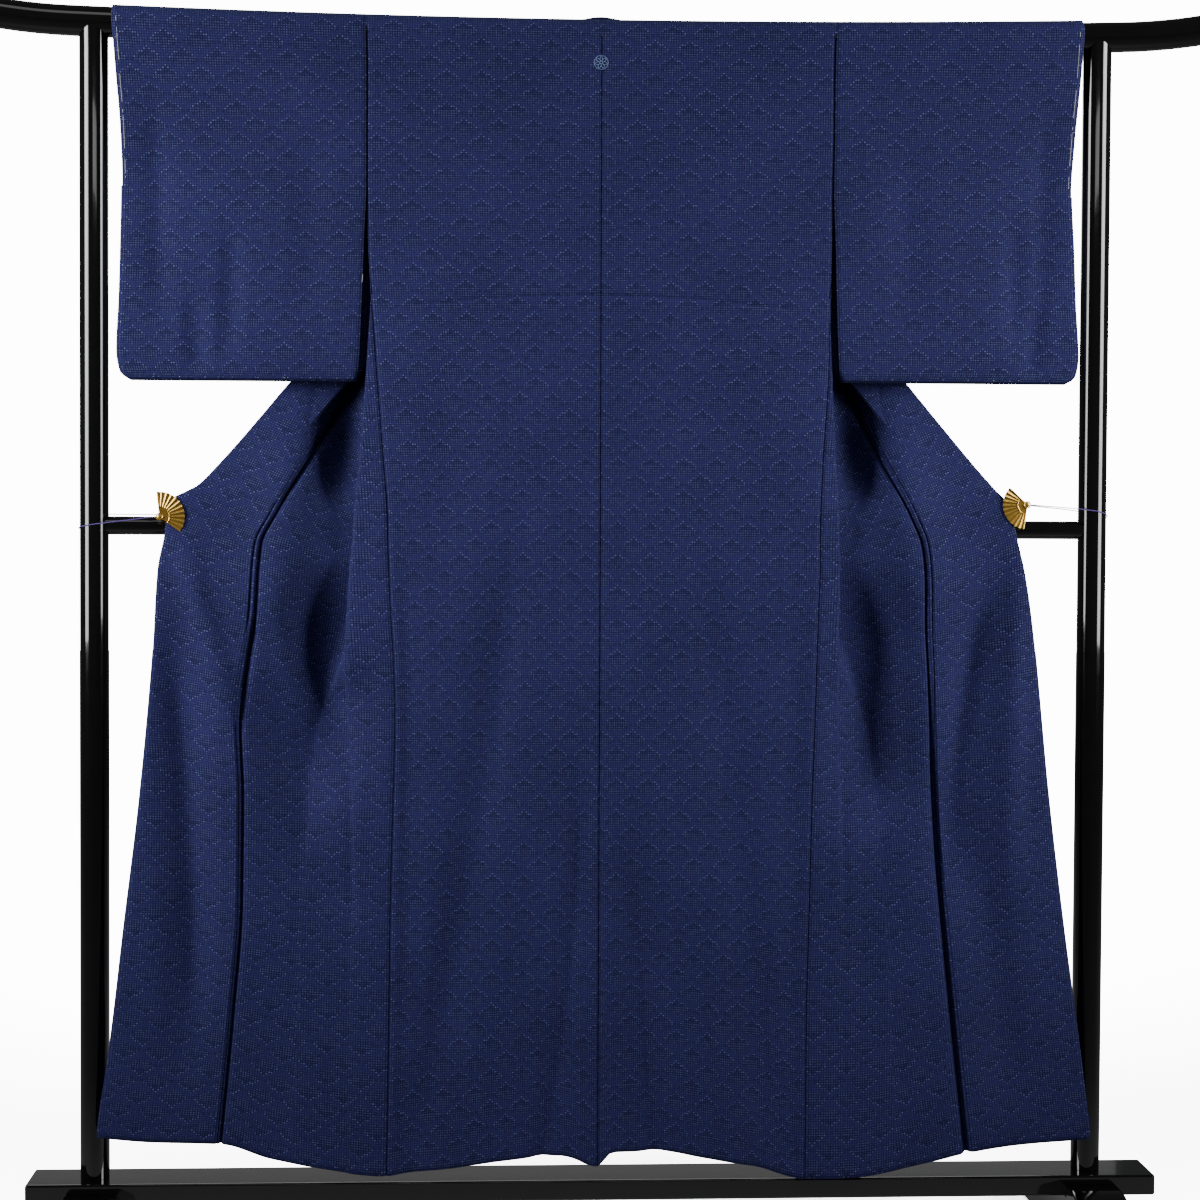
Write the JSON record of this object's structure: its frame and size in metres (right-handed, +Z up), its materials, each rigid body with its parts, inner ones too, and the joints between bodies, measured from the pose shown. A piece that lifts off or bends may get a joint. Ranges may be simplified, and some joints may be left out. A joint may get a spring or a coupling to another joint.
{
  "type": "kimono on a kimono rack",
  "caption": "Navy silk kimono with open sleeves, shown from its back on a lacquered kimono rack, its fronts spread and held by fan-shaped clips.",
  "frame": {"origin": "bottom centre of the whole part, on the floor under the middle of the rack", "axes": "+X to the right of the view of the kimono's back, +Y away from that view, +Z up"},
  "size_m": [1.7894, 0.38, 1.6687],
  "materials": {
    "navy_silk": "soft matte silk crepe with a fine pale dotted pattern",
    "black_lacquer": "glossy black lacquer",
    "gilt_metal": "satin gilt",
    "violet_cord": "matte braided cord"
  },
  "bodies": {
    "root": {"body_left": "navy_silk", "body_right": "navy_silk", "okumi_left": "navy_silk", "okumi_right": "navy_silk", "sleeve_left": "navy_silk", "sleeve_right": "navy_silk", "collar": "navy_silk", "top_bar": "black_lacquer", "post_left": "black_lacquer", "post_right": "black_lacquer", "mid_bar": "black_lacquer", "bottom_rail": "black_lacquer", "foot_left": "black_lacquer", "foot_right": "black_lacquer", "clip_left": "gilt_metal", "clip_right": "gilt_metal", "clip_cord_left": "violet_cord", "clip_cord_right": "violet_cord"}
  },
  "joints": []
}
